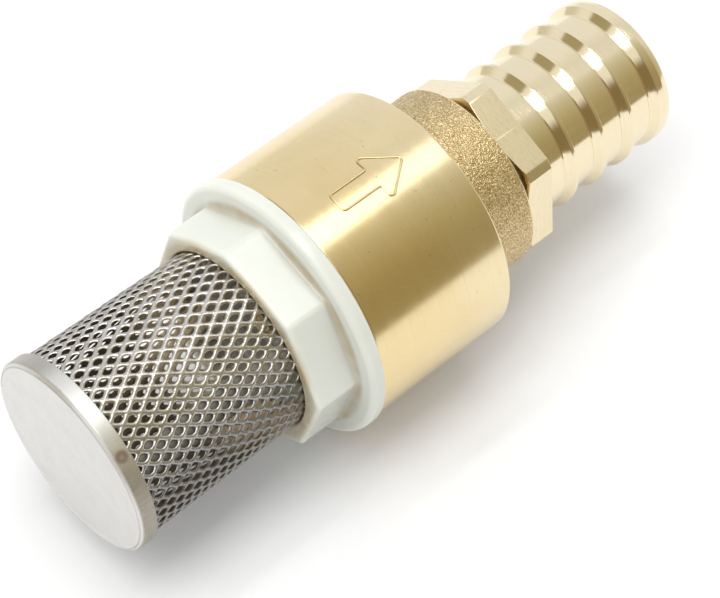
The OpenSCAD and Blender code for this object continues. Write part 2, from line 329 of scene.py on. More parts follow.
def fillet(before, corner, after, radius, steps):
    """Points of a round of that radius at each corner. The first three have a row per corner."""
    back, ahead = before - corner, after - corner
    back_length, ahead_length = lengths(back), lengths(ahead)
    back, ahead = back / back_length, ahead / ahead_length
    half = np.arccos(np.clip((back * ahead).sum(-1, keepdims=True), -1, 1)) / 2
    reach = np.minimum(radius / np.maximum(np.tan(half), 1e-6),
                       0.48 * np.minimum(back_length, ahead_length))
    t = np.linspace(0, 1, steps + 1)[None, :, None]
    weights = (1 - t) ** 2, 2 * np.sin(half)[:, None] * t * (1 - t), t**2
    ends = (corner + back * reach)[:, None], corner[:, None], (corner + ahead * reach)[:, None]
    return sum(w * p for w, p in zip(weights, ends)) / sum(weights)


def section(angles, corners, steps=5):
    """Closed outline of a section at each angle, as rows of (station, radius).

    A corner is (station, radius, fillet) or (station, radius, fillet, divisions of the edge
    after it), where the station and the radius are one number or one per angle.
    """
    count = len(angles)
    points = [np.stack([np.broadcast_to(c[0], count), np.broadcast_to(c[1], count)], -1)
              for c in corners]
    parts = []
    for i, corner in enumerate(corners):
        before, after = points[i - 1], points[(i + 1) % len(corners)]
        if corner[2] > 0:
            parts.append(fillet(before, points[i], after, corner[2], steps))
        else:
            parts.append(points[i][:, None])
    rows = []
    for i, part in enumerate(parts):
        rows.append(part)
        divisions = corners[i][3] if len(corners[i]) > 3 else 1
        start, end = part[:, -1:], parts[(i + 1) % len(parts)][:, :1]
        share = np.linspace(0, 1, divisions + 1)[1:-1][None, :, None]
        rows.append(start + (end - start) * share)
    return np.concatenate(rows, 1)


def revolved(name, angles, rows):
    """A turned object from its section at each angle."""
    turn = np.radians(angles)[:, None]
    radius = rows[..., 1]
    points = np.stack([rows[..., 0], radius * np.cos(turn), radius * np.sin(turn)], -1)
    count, size = radius.shape
    index = np.arange(count * size).reshape(count, size)
    quads = np.stack([index, np.roll(index, -1, 1),
                      np.roll(np.roll(index, -1, 0), -1, 1), np.roll(index, -1, 0)], -1)
    return clean_object(name, points.reshape(-1, 3), quads.reshape(-1, 4).tolist())


def ring_faces(start, end, sides):
    """Quads between two rings of points, each given by the number of its first point."""
    return [(start + side, start + (side + 1) % sides, end + (side + 1) % sides, end + side)
            for side in range(sides)]


def tube_faces(rings, sides, closed):
    """Quads of a tube whose points are ring after ring. An open tube gets two ends."""
    faces = []
    for ring in range(rings if closed else rings - 1):
        faces += ring_faces(ring * sides, (ring + 1) % rings * sides, sides)
    if not closed:
        faces.append(tuple(range(sides)))
        faces.append(tuple((rings - 1) * sides + side for side in range(sides)))
    return faces


def spaced(angles, least):
    """Sorted angles without those that have the next one closer than the least spacing."""
    return angles[np.diff(np.append(angles, angles[0] + 360)) > least]


def round_angles(count, corner=None, sides=0):
    """Even angles round the axis, with more of them beside the corners of a polygon."""
    even = np.arange(count) * 360 / count
    if not sides:
        return even
    extra = [corner + 360 / sides * k + side * turn
             for k in range(sides) for turn in (0, 0.3, 0.7, 1.2, 2.0) for side in (-1, 1)]
    return spaced(np.sort(np.mod(np.concatenate([even, extra]), 360)), 0.05)


def polygon(angles, flats, sharpness):
    """Radius of an outline inside straight sides, each (its middle's angle, its distance).

    The more sharpness, the less its corners are rounded.
    """
    closest = min(distance for _, distance in flats)
    total = np.zeros(len(angles))
    for middle, distance in flats:
        facing = np.cos(np.radians(angles - middle))
        total += (np.maximum(facing, 0) * closest / distance) ** sharpness
    return closest * total ** (-1 / sharpness)


def every(sides, first, distance):
    """The sides of a regular polygon, for polygon()."""
    return [(first + 360 / sides * k, distance) for k in range(sides)]


def joined(first, others):
    """The first object with the meshes of the others added to it."""
    work = bmesh.new()
    for thing in [first, *others]:
        work.from_mesh(thing.data)
    work.to_mesh(first.data)
    work.free()
    for thing in others:
        bpy.data.objects.remove(thing)
    return first


# ---------------------------------------------------------------- materials


def put(tree, kind, inputs, **properties):
    """Adds a node. An input's value is an output to link, or a constant."""
    node = tree.nodes.new(kind)
    for key, value in properties.items():
        setattr(node, key, value)
    for key, value in inputs.items():
        if isinstance(value, bpy.types.NodeSocket):
            tree.links.new(value, node.inputs[key])
        else:
            node.inputs[key].default_value = value
    return node


def calc(tree, operation, a, b=0.0):
    """Result of a mathematical operation on one or two values."""
    return put(tree, "ShaderNodeMath", {0: a, 1: b}, operation=operation).outputs[0]


def place_mm(tree, stretch=(1, 1, 1)):
    """Object coordinates in mm, each stretched by a factor."""
    place = put(tree, "ShaderNodeTexCoord", {})
    scale = [s / MM for s in stretch]
    mapping = put(tree, "ShaderNodeMapping",
                  {"Vector": place.outputs["Object"], "Scale": scale})
    return mapping.outputs[0]


def grain(tree, stretch, detail, roughness=0.5):
    """Noise with cells of about 1 / stretch mm, from 0 to 1."""
    node = put(tree, "ShaderNodeTexNoise",
               {"Vector": place_mm(tree, stretch), "Scale": 1.0, "Detail": detail,
                "Roughness": roughness})
    return node.outputs[0]


def ease(tree, value, low, high, to_low=0.0, to_high=1.0):
    """Smooth step of a value from low..high to to_low..to_high."""
    node = put(tree, "ShaderNodeMapRange",
               {"Value": value, "From Min": low, "From Max": high,
                "To Min": to_low, "To Max": to_high}, interpolation_type="SMOOTHSTEP")
    return node.outputs[0]


def tint(tree, share, a, b):
    """Colour between a and b."""
    node = put(tree, "ShaderNodeMix",
               {0: share, 6: a if isinstance(a, bpy.types.NodeSocket) else (*a, 1),
                7: b if isinstance(b, bpy.types.NodeSocket) else (*b, 1)}, data_type="RGBA")
    return node.outputs[2]


def bump(tree, height, depth_mm, strength, under=None):
    """Normal of a surface with heights of up to that depth, on top of another normal."""
    inputs = {"Height": height, "Distance": depth_mm * MM, "Strength": strength}
    if under is not None:
        inputs["Normal"] = under
    return put(tree, "ShaderNodeBump", inputs).outputs[0]


def station_of(tree):
    """Station of the shaded point, and its two coordinates across the axis, in mm."""
    split = put(tree, "ShaderNodeSeparateXYZ", {0: place_mm(tree)})
    return calc(tree, "SUBTRACT", split.outputs[0], RIM_X), split.outputs[1], split.outputs[2]


def radius_of(tree):
    """Distance in mm of the shaded point from the flow axis."""
    _, y, z = station_of(tree)
    squares = calc(tree, "ADD", calc(tree, "MULTIPLY", y, y), calc(tree, "MULTIPLY", z, z))
    return calc(tree, "SQRT", squares)


def near(tree, at, angle, on_radius):
    """Distance in mm of the shaded point from a spot on a cylinder."""
    station, y, z = station_of(tree)
    spot = round_axis(at, on_radius, math.radians(angle))
    squares = None
    for value, centre in zip((station, y, z), spot):
        offset = calc(tree, "SUBTRACT", value, centre)
        square = calc(tree, "MULTIPLY", offset, offset)
        squares = square if squares is None else calc(tree, "ADD", squares, square)
    return calc(tree, "SQRT", squares)


def material(name, build, **constants):
    """A Principled material. The constants go on its own sockets, and build links the rest."""
    made = bpy.data.materials.new(name)
    made.use_nodes = True
    shader = made.node_tree.nodes["Principled BSDF"]
    for key, value in constants.items():
        shader.inputs[key.replace("_", " ")].default_value = value
    build(made.node_tree, shader.inputs)
    return made


def link(tree, sockets, values):
    """Links each value to the shader's socket of that name."""
    for key, value in values.items():
        tree.links.new(value, sockets[key])


def around(tree):
    """Tangent round the flow axis, for turned metal."""
    return put(tree, "ShaderNodeTangent", {}, direction_type="RADIAL", axis="X").outputs[0]


def turned_brass(tree, sockets):
    """The body's skin: fine lathe lines, faint clouds and a few pits, paler towards the neck."""
    lines = grain(tree, (13, 0.05, 0.05), detail=3, roughness=0.6)
    bands = grain(tree, (0.7, 0.05, 0.05), detail=2)
    clouds = grain(tree, (0.12, 0.12, 0.12), detail=3)
    pits = ease(tree, grain(tree, (1.9, 1.9, 1.9), detail=1), 0.73, 0.78)
    station, _, _ = station_of(tree)
    plain = tint(tree, ease(tree, station, 8.0, BODY_END, 0.0, 0.6), BRASS, BRASS_PALE)
    colour = tint(tree, ease(tree, lines, 0.3, 0.75, 0.0, 0.26), plain, BRASS_DARK)
    colour = tint(tree, ease(tree, clouds, 0.42, 0.70, 0.0, 0.18), colour, BRASS_DARK)
    colour = tint(tree, calc(tree, "MULTIPLY", pits, 0.55), colour, CAST_BRASS_DARK)
    rough = calc(tree, "ADD", ease(tree, bands, 0.3, 0.7, 0.18, 0.22),
                 ease(tree, lines, 0.3, 0.7, 0.0, 0.03))
    link(tree, sockets, {"Base Color": colour, "Roughness": rough, "Tangent": around(tree),
                         "Normal": bump(tree, lines, 0.005, 0.5)})


def cast_brass(tree, sockets):
    """The neck's skin: sand-cast grain with dark hollows."""
    fine = grain(tree, (4.6, 4.6, 4.6), detail=1.5)
    coarse = grain(tree, (0.8, 0.8, 0.8), detail=2)
    colour = tint(tree, ease(tree, fine, 0.42, 0.60), CAST_BRASS_DARK, CAST_BRASS)
    colour = tint(tree, ease(tree, coarse, 0.4, 0.7, 0.0, 0.25), colour, BRASS)
    link(tree, sockets, {"Base Color": colour, "Roughness": ease(tree, fine, 0.3, 0.7, 0.36, 0.24),
                         "Normal": bump(tree, fine, 0.18, 1.0)})


def tail_brass(tree, sockets):
    """The hose tail's skin: bright and turned, with milled and scratched flats on the hexagon."""
    station, _, _ = station_of(tree)
    on_hex = calc(tree, "MULTIPLY", ease(tree, station, HEX_START - 0.1, HEX_START),
                  ease(tree, station, HEX_END, HEX_END + 0.02, 1.0, 0.0))
    lines = grain(tree, (11, 0.05, 0.05), detail=3, roughness=0.6)
    scratches = grain(tree, (5, 0.6, 0.6), detail=4, roughness=0.75)
    colour = tint(tree, ease(tree, lines, 0.35, 0.75, 0.0, 0.12), BRASS_PALE, BRASS_DARK)
    marks = calc(tree, "MULTIPLY", on_hex, ease(tree, scratches, 0.5, 0.75, 0.06, 0.45))
    colour = tint(tree, marks, colour, CAST_BRASS_DARK)
    lines_height = calc(tree, "MULTIPLY", lines, calc(tree, "SUBTRACT", 1.0, on_hex))
    marks_height = calc(tree, "MULTIPLY", scratches, calc(tree, "MULTIPLY", on_hex, 0.4))
    height = calc(tree, "ADD", lines_height, marks_height)
    rough = calc(tree, "ADD", ease(tree, lines, 0.3, 0.7, 0.08, 0.14),
                 calc(tree, "MULTIPLY", on_hex, 0.1))
    link(tree, sockets, {"Base Color": colour, "Roughness": rough,
                         "Normal": bump(tree, height, 0.012, 0.5)})


def nylon(tree, sockets):
    """The bonnet's skin, stained round the strainer's socket, with painted shade inside the socket
    and the bores and in the corner where the octagon meets the flange.
    """
    station, _, _ = station_of(tree)
    radius = radius_of(tree)
    ring = calc(tree, "MULTIPLY", ease(tree, station, OCT_START + 0.2, OCT_START + 0.9, 1.0, 0.0),
                ease(tree, radius, SOCKET_R + 0.8, SOCKET_R + 2.9, 1.0, 0.0))
    # Painted warm shade on every surface inside the socket's radius: the socket, the bores and the
    # stem guide. The ring on the front face is a real stain
    mouth_stain_and_shade = calc(tree, "MAXIMUM", ring, ease(tree, radius, SOCKET_R, SOCKET_R + 0.3, 0.3, 0.0))
    # Painted shade in the corner where the octagon meets the flange
    from_flange = calc(tree, "ABSOLUTE", calc(tree, "SUBTRACT", station, FLANGE_START))
    crease_shade = calc(tree, "MULTIPLY", ease(tree, from_flange, 0.1, 1.0, 0.7, 0.0),
                  ease(tree, radius, OCT_FLAT_R + 1.3, OCT_FLAT_R + 2.4, 1.0, 0.0))
    patches = grain(tree, (0.22, 0.22, 0.22), detail=3)
    stain_and_shade = calc(tree, "MULTIPLY", calc(tree, "MAXIMUM", mouth_stain_and_shade, crease_shade),
                 ease(tree, patches, 0.3, 0.7, 0.55, 0.95))
    specks = ease(tree, grain(tree, (2.1, 2.1, 2.1), detail=1), 0.80, 0.84)
    colour = tint(tree, stain_and_shade, NYLON, NYLON_STAIN_AND_SHADE)
    colour = tint(tree, calc(tree, "MULTIPLY", specks, 0.4), colour, NYLON_STAIN_AND_SHADE)
    skin = grain(tree, (0.9, 0.9, 0.9), detail=2)
    waves = grain(tree, (0.16, 0.16, 0.16), detail=1)
    normal = bump(tree, waves, 0.25, 0.35)
    link(tree, sockets, {"Base Color": colour, "Roughness": ease(tree, skin, 0.3, 0.7, 0.18, 0.27),
                         "Normal": bump(tree, skin, 0.003, 0.5, normal)})


def shaded_inside_steel(tree, sockets):
    """The mesh's inside: dark painted shade, turning to pale painted warm light near the bonnet.
    """
    station, _, _ = station_of(tree)
    fine = grain(tree, (3, 3, 3), detail=3, roughness=0.6)
    # Painted shade inside the mesh, turning to painted warm light near the bonnet
    colour = tint(tree, ease(tree, station, OCT_START - 10.0, OCT_START - 3.0), MESH_INSIDE_SHADE, MESH_INSIDE_GLOW)
    colour = tint(tree, ease(tree, fine, 0.35, 0.7, 0.0, 0.15), colour, MESH_INSIDE_SHADE)
    link(tree, sockets, {"Base Color": colour, "Roughness": ease(tree, fine, 0.3, 0.7, 0.6, 0.45),
                         "Normal": bump(tree, fine, 0.03, 0.5)})


def mesh_steel(tree, sockets):
    """The mesh's outside: patchy stainless steel, with painted shade darkening it towards the
    floor.
    """
    fine = grain(tree, (5, 5, 5), detail=3, roughness=0.6)
    patches = grain(tree, (0.25, 0.25, 0.25), detail=2)
    _, _, height = station_of(tree)
    colour = tint(tree, ease(tree, fine, 0.35, 0.7, 0.0, 0.8), STEEL, STEEL_WARM_AND_SHADE)
    colour = tint(tree, ease(tree, patches, 0.4, 0.7, 0.0, 0.5), colour, STEEL_PALE)
    # Painted shade: the steel darkens towards the floor, where it mirrors the shadowed floor
    colour = tint(tree, ease(tree, height, 3.0, 13.0, 0.95, 0.0), colour, STEEL_PAINTED_SHADE)
    link(tree, sockets, {"Base Color": colour, "Roughness": ease(tree, fine, 0.3, 0.7, 0.24, 0.4),
                         "Normal": bump(tree, fine, 0.03, 0.5)})


def cap_steel(tree, sockets):
    """The cap: a rolled face with specks, and a drawn skirt with streaks, painted shade towards
    its back and its bottom and in the narrow ring round the face, and a spot weld.
    """
    station, back, up = station_of(tree)
    skirt = ease(tree, station, CAP_FACE + 0.25, CAP_FACE + CAP_SHOULDER)
    drawn = grain(tree, (0.5, 13, 13), detail=3, roughness=0.6)
    rolled = grain(tree, (0.4, 0.8, 6), detail=4, roughness=0.7)
    clouds = grain(tree, (0.35, 0.35, 0.35), detail=3)
    specks = ease(tree, grain(tree, (3.2, 3.2, 3.2), detail=2, roughness=0.7), 0.66, 0.71)
    from_weld = near(tree, *WELD, CAP_R)
    weld = calc(tree, "MULTIPLY", ease(tree, from_weld, 0, WELD_R * 0.8, 0.55, 1.0),
                ease(tree, from_weld, WELD_R * 0.8, WELD_R * 1.7, 1.0, 0.0))
    from_groove = calc(tree, "ABSOLUTE", calc(tree, "SUBTRACT", radius_of(tree), CAP_GROOVE_R))
    # Painted shade: a dark line in the groove between the face's bead and the skirt
    groove_shade = ease(tree, from_groove, 0.05, 0.18, 0.4, 0.0)
    face = tint(tree, ease(tree, clouds, 0.4, 0.7, 0.0, 0.2), STEEL_PALE, STEEL)
    # Painted shade: the skirt darkens towards its back and its bottom, with a streaky edge
    streaked = calc(tree, "ADD", up, calc(tree, "MULTIPLY", drawn, 3.0))
    shade_back_and_low = calc(tree, "MAXIMUM", ease(tree, back, 1.5, 6.0, 0.0, 0.7),
                ease(tree, streaked, WELD_HEIGHT - 3.0, WELD_HEIGHT + 2.5, 1.0, 0.0))
    side = tint(tree, shade_back_and_low, STEEL_PALE, STEEL_WARM_AND_SHADE)
    side = tint(tree, ease(tree, drawn, 0.3, 0.7, 0.0, 0.4), side, STEEL)
    colour = tint(tree, skirt, face, side)
    colour = tint(tree, groove_shade, colour, STEEL_WARM_AND_SHADE)
    colour = tint(tree, calc(tree, "MULTIPLY", specks, 0.6), colour, STEEL_WARM_AND_SHADE)
    colour = tint(tree, calc(tree, "MULTIPLY", weld, 0.65), colour, HEAT_TINT)
    rough = calc(tree, "ADD", ease(tree, skirt, 0, 1, 0.42, 0.34),
                 ease(tree, clouds, 0.3, 0.7, 0.0, 0.04))
    rolled_share = calc(tree, "MULTIPLY", calc(tree, "SUBTRACT", 1.0, skirt), 0.5)
    height = calc(tree, "ADD", calc(tree, "MULTIPLY", rolled, rolled_share),
                  calc(tree, "MULTIPLY", drawn, skirt))
    link(tree, sockets, {"Base Color": colour, "Roughness": rough, "Tangent": around(tree),
                         "Anisotropic": calc(tree, "MULTIPLY", skirt, 0.7),
                         "Normal": bump(tree, height, 0.01, 0.5)})


def speckled(light, dark, stretch, rough, depth_mm):
    """Builds a plain material: two colours mixed by noise, with its own bump."""
    def build(tree, sockets):
        cells = grain(tree, stretch, detail=3, roughness=0.6)
        link(tree, sockets, {"Base Color": tint(tree, ease(tree, cells, 0.3, 0.7), light, dark),
                             "Roughness": ease(tree, cells, 0.3, 0.7, *rough),
                             "Normal": bump(tree, cells, depth_mm, 0.5)})
    return build


def make_materials():
    """The finished material of each slot of the record, and of the cast neck, the mesh's inside
    and the seam strip."""
    metal = {"Metallic": 1.0}
    soft = {"Subsurface_Weight": 0.6, "Subsurface_Radius": (1.0, 0.9, 0.7),
            "Subsurface_Scale": 2.6 * MM, "IOR": 1.52, "Coat_Weight": 0.2,
            "Coat_Roughness": 0.08}
    stem = speckled(BRASS, BRASS_DARK, (7, 0.4, 0.4), (0.22, 0.32), 0.01)
    hardware = speckled(STEEL_PALE, STEEL, (5, 0.5, 0.5), (0.2, 0.32), 0.01)
    acetal = speckled(ACETAL, ACETAL_DARK, (1, 1, 1), (0.35, 0.5), 0.03)
    rubber = speckled(RUBBER, RUBBER_PALE, (3, 3, 3), (0.5, 0.7), 0.02)
    strip = speckled(STRIP_STEEL, STRIP_STEEL_DARK, (3, 3, 3), (0.5, 0.65), 0.02)
    tape = speckled(PTFE, PTFE_DARK, (2, 0.3, 0.3), (0.5, 0.6), 0.04)
    return {
        "brass_body": material("turned_brass", turned_brass, **metal,
                               Anisotropic=0.6, Anisotropic_Rotation=0.25),
        "cast_brass": material("cast_brass", cast_brass, **metal),
        "brass_tail": material("tail_brass", tail_brass, **metal),
        "brass_stem": material("stem_brass", stem, **metal),
        "nylon": material("nylon", nylon, **soft),
        "acetal": material("acetal", acetal, Subsurface_Weight=0.3, Subsurface_Scale=1.0 * MM),
        "rubber": material("rubber", rubber),
        "ptfe_tape": material("ptfe_tape", tape),
        "steel_mesh": material("mesh_steel", mesh_steel, **metal),
        # The mesh's inside is painted shade, with painted warm light near the bonnet
        "shaded_mesh_inside": material("shaded_inside_steel", shaded_inside_steel, Metallic=0.2),
        "seam_strip": material("strip_steel", strip, **metal),
        "steel_cap": material("cap_steel", cap_steel, **metal),
        "steel_hardware": material("hardware_steel", hardware, **metal),
    }


# ---------------------------------------------------------------- the pieces


def roughen(rows, angles):
    """Pushes the cast neck's skin in and out, as sand casting leaves it."""
    station, radius = rows[..., 0], rows[..., 1]
    on_neck = (station > BODY_END + 0.3) & (station < NECK_END - 0.35) & (radius > NECK_R - 0.05)
    for j, i in np.argwhere(on_neck):
        turn = math.radians(angles[j])
        at = Vector(round_axis(station[j, i], NECK_R, turn)) / GRAIN_SIZE
        rows[j, i, 1] += GRAIN_HEIGHT * (perlin.noise(at) + 0.5 * perlin.noise(at * 2.1))
    return rows


def make_body():
    """The turned body with its cast neck."""
    angles = round_angles(BODY_SIDES)
    rows = section(angles, [
        (0, BODY_R, 0.35),
        (BODY_END, BODY_R, 0.45),
        (BODY_END, NECK_R, 0.3, NECK_DIVISIONS),
        (NECK_END, NECK_R, 0.25),
        (NECK_END, NECK_BORE_R, 0.3),
        (THROAT[1], NECK_BORE_R, 0),
        (THROAT[1], THROAT_R, 0.2),
        (THROAT[0], THROAT_R, 0.2),
        (THROAT[0], CHAMBER_R, 0),
        (SNAP_GROOVE[1], CHAMBER_R, 0),
        (SNAP_GROOVE[1], SNAP_GROOVE_R, 0),
        (SNAP_GROOVE[0], SNAP_GROOVE_R, 0),
        (SNAP_GROOVE[0], CHAMBER_R, 0),
        (THREAD_RUNOUT_END, CHAMBER_R, 0),
        (THREAD_END, THREAD_R, 0),
        (O_RING_SEAT_END, THREAD_R, 0),
        (O_RING_SEAT_END, O_RING_SEAT_R, 0),
        (0, O_RING_SEAT_R, 0.2),
    ])
    return revolved("brass_body", angles, roughen(rows, angles))


def make_arrow():
    """The raised outline of an arrow on the body, which points along the flow."""
    half, shaft = ARROW_LENGTH / 2, ARROW_SHAFT_W / 2
    head_at, head = half - ARROW_HEAD[0], ARROW_HEAD[1] / 2
    outline = np.array([(-half, -shaft), (head_at, -shaft), (head_at, -head), (half, 0),
                        (head_at, head), (head_at, shaft), (-half, shaft)])
    before, after = np.roll(outline, 1, 0), np.roll(outline, -1, 0)
    line = fillet(before, outline, after, ARROW_ROUND, 6).reshape(-1, 2)
    along = np.roll(line, -1, 0) - np.roll(line, 1, 0)
    across = np.stack([-along[:, 1], along[:, 0]], -1) / lengths(along)
    points = []
    for (station, arc), (side, rise) in zip(line, across):
        for share, height in ARROW_PROFILE:
            offset = share * ARROW_LINE_W
            angle = math.radians(ARROW_MID[1]) + (arc + offset * rise) / BODY_R
            points.append(round_axis(ARROW_MID[0] + station + offset * side,
                                     BODY_R + height * ARROW_LINE_H, angle))
    return clean_object("flow_arrow", points, tube_faces(len(line), len(ARROW_PROFILE), True))


def make_tail():
    """The hose tail, with its spanner hexagon and its ridges."""
    cut_edges = [round_angles(TAIL_SIDES, HEX_CORNER + turn, 6)
                 for turn in (-HEX_CUT_TURN, HEX_CUT_TURN)]
    angles = spaced(np.union1d(*cut_edges), 0.04)
    outline = polygon(angles, every(6, HEX_CORNER + 30, HEX_FLAT_R)
                      + every(6, HEX_CORNER, HEX_CORNER_CUT_R), HEX_SHARPNESS)
    cone_end = HEX_START + np.maximum(outline - HEX_FLAT_R, 0) / HEX_CONE_RISE
    ridges = []
    for i in range(CREST_COUNT):
        crest = FIRST_CREST + i * CREST_PITCH
        foot = crest - RIDGE_RISE
        ridges += [(foot - 0.4, LAND_R, 0.1), (foot - 0.2, LAND_R - FOOT_GROOVE, 0.08),
                   (foot, LAND_R, 0.15), (crest, CREST_R - 0.03, 0.25)]
        if i < CREST_COUNT - 1:
            ridges += [(crest + CREST_LAND, CREST_R, 0.12),
                       (crest + CREST_LAND + 0.3, LAND_R, 0.15)]
    rows = section(angles, [
        (TAIL_START, TAIL_SHANK_R, 0.4),
        (NECK_END - 0.3, TAIL_SHANK_R, 0),
        (NECK_END, TAIL_RELIEF_R, 0),
        (HEX_START, TAIL_RELIEF_R, 0),
        (HEX_START, np.minimum(outline, HEX_FLAT_R), 0),
        (cone_end, outline, 0.08),
        (HEX_END, outline, 0.12),
        (HEX_END, LAND_R, 0.25),
        *ridges,
        (TAIL_END - END_ROUND, CREST_R, 0.6),
        (TAIL_END, CREST_R - 0.3, 0.4),
        (TAIL_END, TAIL_BORE_R, 0.35),
        (TAIL_START, TAIL_BORE_R, 0.1),
    ])
    return revolved("hose_tail_ridged", angles, rows)


def block(name, station, across, radii, turn):
    """A rounded block that reaches outwards from the axis, turned round it."""
    work = bmesh.new()
    bmesh.ops.create_cube(work, size=1)
    size = (station[1] - station[0], across, radii[1] - radii[0])
    centre = ((station[0] + station[1]) / 2, 0, (radii[0] + radii[1]) / 2)
    work.transform(Matrix.Rotation(math.radians(turn), 4, "X") @ Matrix.Translation(centre)
                   @ Matrix.Diagonal((*size, 1)))
    bmesh.ops.bevel(work, geom=work.edges[:], offset=GUIDE_ARM_BEVEL, segments=2,
                    affect="EDGES")
    points = [tuple(v.co) for v in work.verts]
    faces = [[v.index for v in face.verts] for face in work.faces]
    work.free()
    return clean_object(name, points, faces)


def make_bonnet():
    """The nylon bonnet: flange, octagon, strainer socket, valve seat and stem guide."""
    angles = round_angles(BONNET_SIDES, OCT_CORNER, 8)
    outline = polygon(angles, every(8, OCT_CORNER + 22.5, OCT_FLAT_R), OCT_SHARPNESS)
    rows = section(angles, [
        (OCT_START, SOCKET_R, 0.35),
        (OCT_START, outline, 0.75),
        (FLANGE_START, outline, 0.7),
        (FLANGE_START, FLANGE_R, 1.0),
        (0, FLANGE_R, 0.35),
        (0, SKIRT_R, 0),
        (SKIRT_END, SKIRT_R, 0.4),
        (SKIRT_END, SEAT_LIP_R, 0.1),
        (SEAT_END, SEAT_LIP_R, 0.3),
        (SEAT_END, SEAT_R, 0.3),
        (SEAT_BORE_START, SEAT_R, 0.5),
        (INLET_END, INLET_R, 0.5),
        (SOCKET_END, INLET_R, 0.3),
        (SOCKET_END, SOCKET_R, 0.2),
    ], steps=6)
    shell = revolved("nylon_bonnet", angles, rows)
    round_hub = round_angles(GUIDE_HUB_SIDES)
    hub = revolved("hub", round_hub, section(round_hub, [
        (GUIDE_HUB[0], GUIDE_BORE_R, 0.2),
        (GUIDE_HUB[0], GUIDE_HUB_R, 0.5),
        (GUIDE_HUB[1], GUIDE_HUB_R, 0.5),
        (GUIDE_HUB[1], GUIDE_BORE_R, 0.2),
    ]))
    # The arms end inside the hub and inside the shell
    reach = (GUIDE_HUB_R - 0.6, INLET_R + 0.3)
    arms = [block("arm", GUIDE_ARM, GUIDE_ARM_W, reach, 360 / GUIDE_ARMS * k)
            for k in range(GUIDE_ARMS)]
    return joined(shell, [hub, *arms])


def diamond_hole():
    """Points round an eye-shaped hole and round its cell, as shares of the cell's half sizes."""
    hole, cell = [], []
    for k in range(HOLE_POINTS):
        turn = 2 * math.pi * k / HOLE_POINTS
        c, s = math.cos(turn), math.sin(turn)
        hole.append((HOLE_LONG * c, HOLE_SHORT * s * abs(s) ** HOLE_POINTED))
        size = 1 / (abs(c) + abs(s))
        cell.append((c * size, s * size))
    return np.array(hole), np.array(cell)


def strand_radius(station):
    """Radius of the middle of the mesh's strands, which taper towards the hose."""
    share = (station - MESH_START) / (MESH_END - MESH_START)
    return MESH_R[0] + (MESH_R[1] - MESH_R[0]) * share - MESH_SINK


def mesh_cell(middle, row):
    """Points of the strands round one hole, ring after ring of STRAND_PROFILE."""
    hole, cell = diamond_hole()
    points = []
    for share, height in STRAND_PROFILE:
        for along, across in cell + (hole - cell) * share:
            station = middle + along * HALF_LONG
            angle = (row + across) * HALF_TURN
            lean = STRAND_LEAN * math.sin(angle - math.radians(UPRIGHT_ANGLE))
            radius = strand_radius(station) + height * STRAND_T + lean * across * share
            points.append(round_axis(station, radius, angle))
    return points


def make_mesh():
    """The tapered expanded-metal sleeve: eye-shaped holes between leaning rounded strands."""
    columns = int((MESH_END - MESH_START) / HALF_LONG) - 1
    first = (MESH_START + MESH_END) / 2 - (columns - 1) / 2 * HALF_LONG
    points, faces = [], []
    for column in range(columns):
        for row in range(column % 2, 2 * CELLS_ROUND, 2):
            for ring in range(len(STRAND_PROFILE) - 1):
                start = len(points) + ring * HOLE_POINTS
                faces += ring_faces(start, start + HOLE_POINTS, HOLE_POINTS)
            points += mesh_cell(first + column * HALF_LONG, row)
    return clean_object("expanded_mesh", points, faces)


def make_seam_strip():
    """The strip that closes the mesh's seam from inside."""
    rings, across = STRIP_GRID
    shares = np.linspace(-0.5, 0.5, across)
    profile = [(share, 0.0) for share in shares] + [(share, STRIP_T) for share in shares[::-1]]
    points = []
    for station in np.linspace(MESH_START, MESH_END, rings):
        top = strand_radius(station) - STRIP_GAP
        for share, depth in profile:
            angle = math.radians(STRIP_ANGLE) + share * STRIP_W / top
            points.append(round_axis(station, top - depth, angle))
    return clean_object("seam_strip", points, tube_faces(rings, len(profile), False))


def make_cap():
    """The pressed cap, with the dimple of a spot weld in its skirt."""
    angles = round_angles(CAP_SIDES)
    inner_r = CAP_R - CAP_T
    rows = section(angles, [
        (CAP_FACE + CAP_DISH, 0, 0),
        (CAP_FACE + CAP_DISH, CAP_BEAD_R - 0.9, 0.8),
        (CAP_FACE, CAP_BEAD_R - 0.5, 0.5),
        (CAP_FACE, CAP_BEAD_R, 0.25),
        (CAP_FACE + CAP_GROOVE, CAP_GROOVE_R, 0.06),
        (CAP_FACE + CAP_GROOVE / 2, CAP_GROOVE_R + 0.15, 0.1),
        (CAP_FACE + CAP_SHOULDER, CAP_R, 0.4, CAP_SHOULDER_DIVISIONS),
        (CAP_EDGE, CAP_R, 0.12),
        (CAP_EDGE, inner_r, 0.1),
        (CAP_FACE + 0.2 + CAP_T, inner_r, 0.4),
        (CAP_FACE + CAP_DISH + CAP_T, 0, 0),
    ])
    arc = np.radians(np.abs(angles - WELD[1]))[:, None] * CAP_R
    distance = np.hypot(rows[..., 0] - WELD[0], arc)
    outside = rows[..., 1] > inner_r + CAP_T / 2
    rows[..., 1] -= outside * WELD_DEPTH * np.exp(-(distance / WELD_R) ** 2)
    return revolved("pressed_cap", angles, rows)


def spring_station(turn):
    """Station of the spring wire's middle after a number of turns. The end coils lie close."""
    first, last, pitch = SPRING_START + WIRE_R, SPRING_END - WIRE_R, 2 * WIRE_R
    if turn < 1:
        return first + pitch * turn
    if turn > COILS - 1:
        return last - pitch * (COILS - turn)
    return first + pitch + (last - first - 2 * pitch) * (turn - 1) / (COILS - 2)


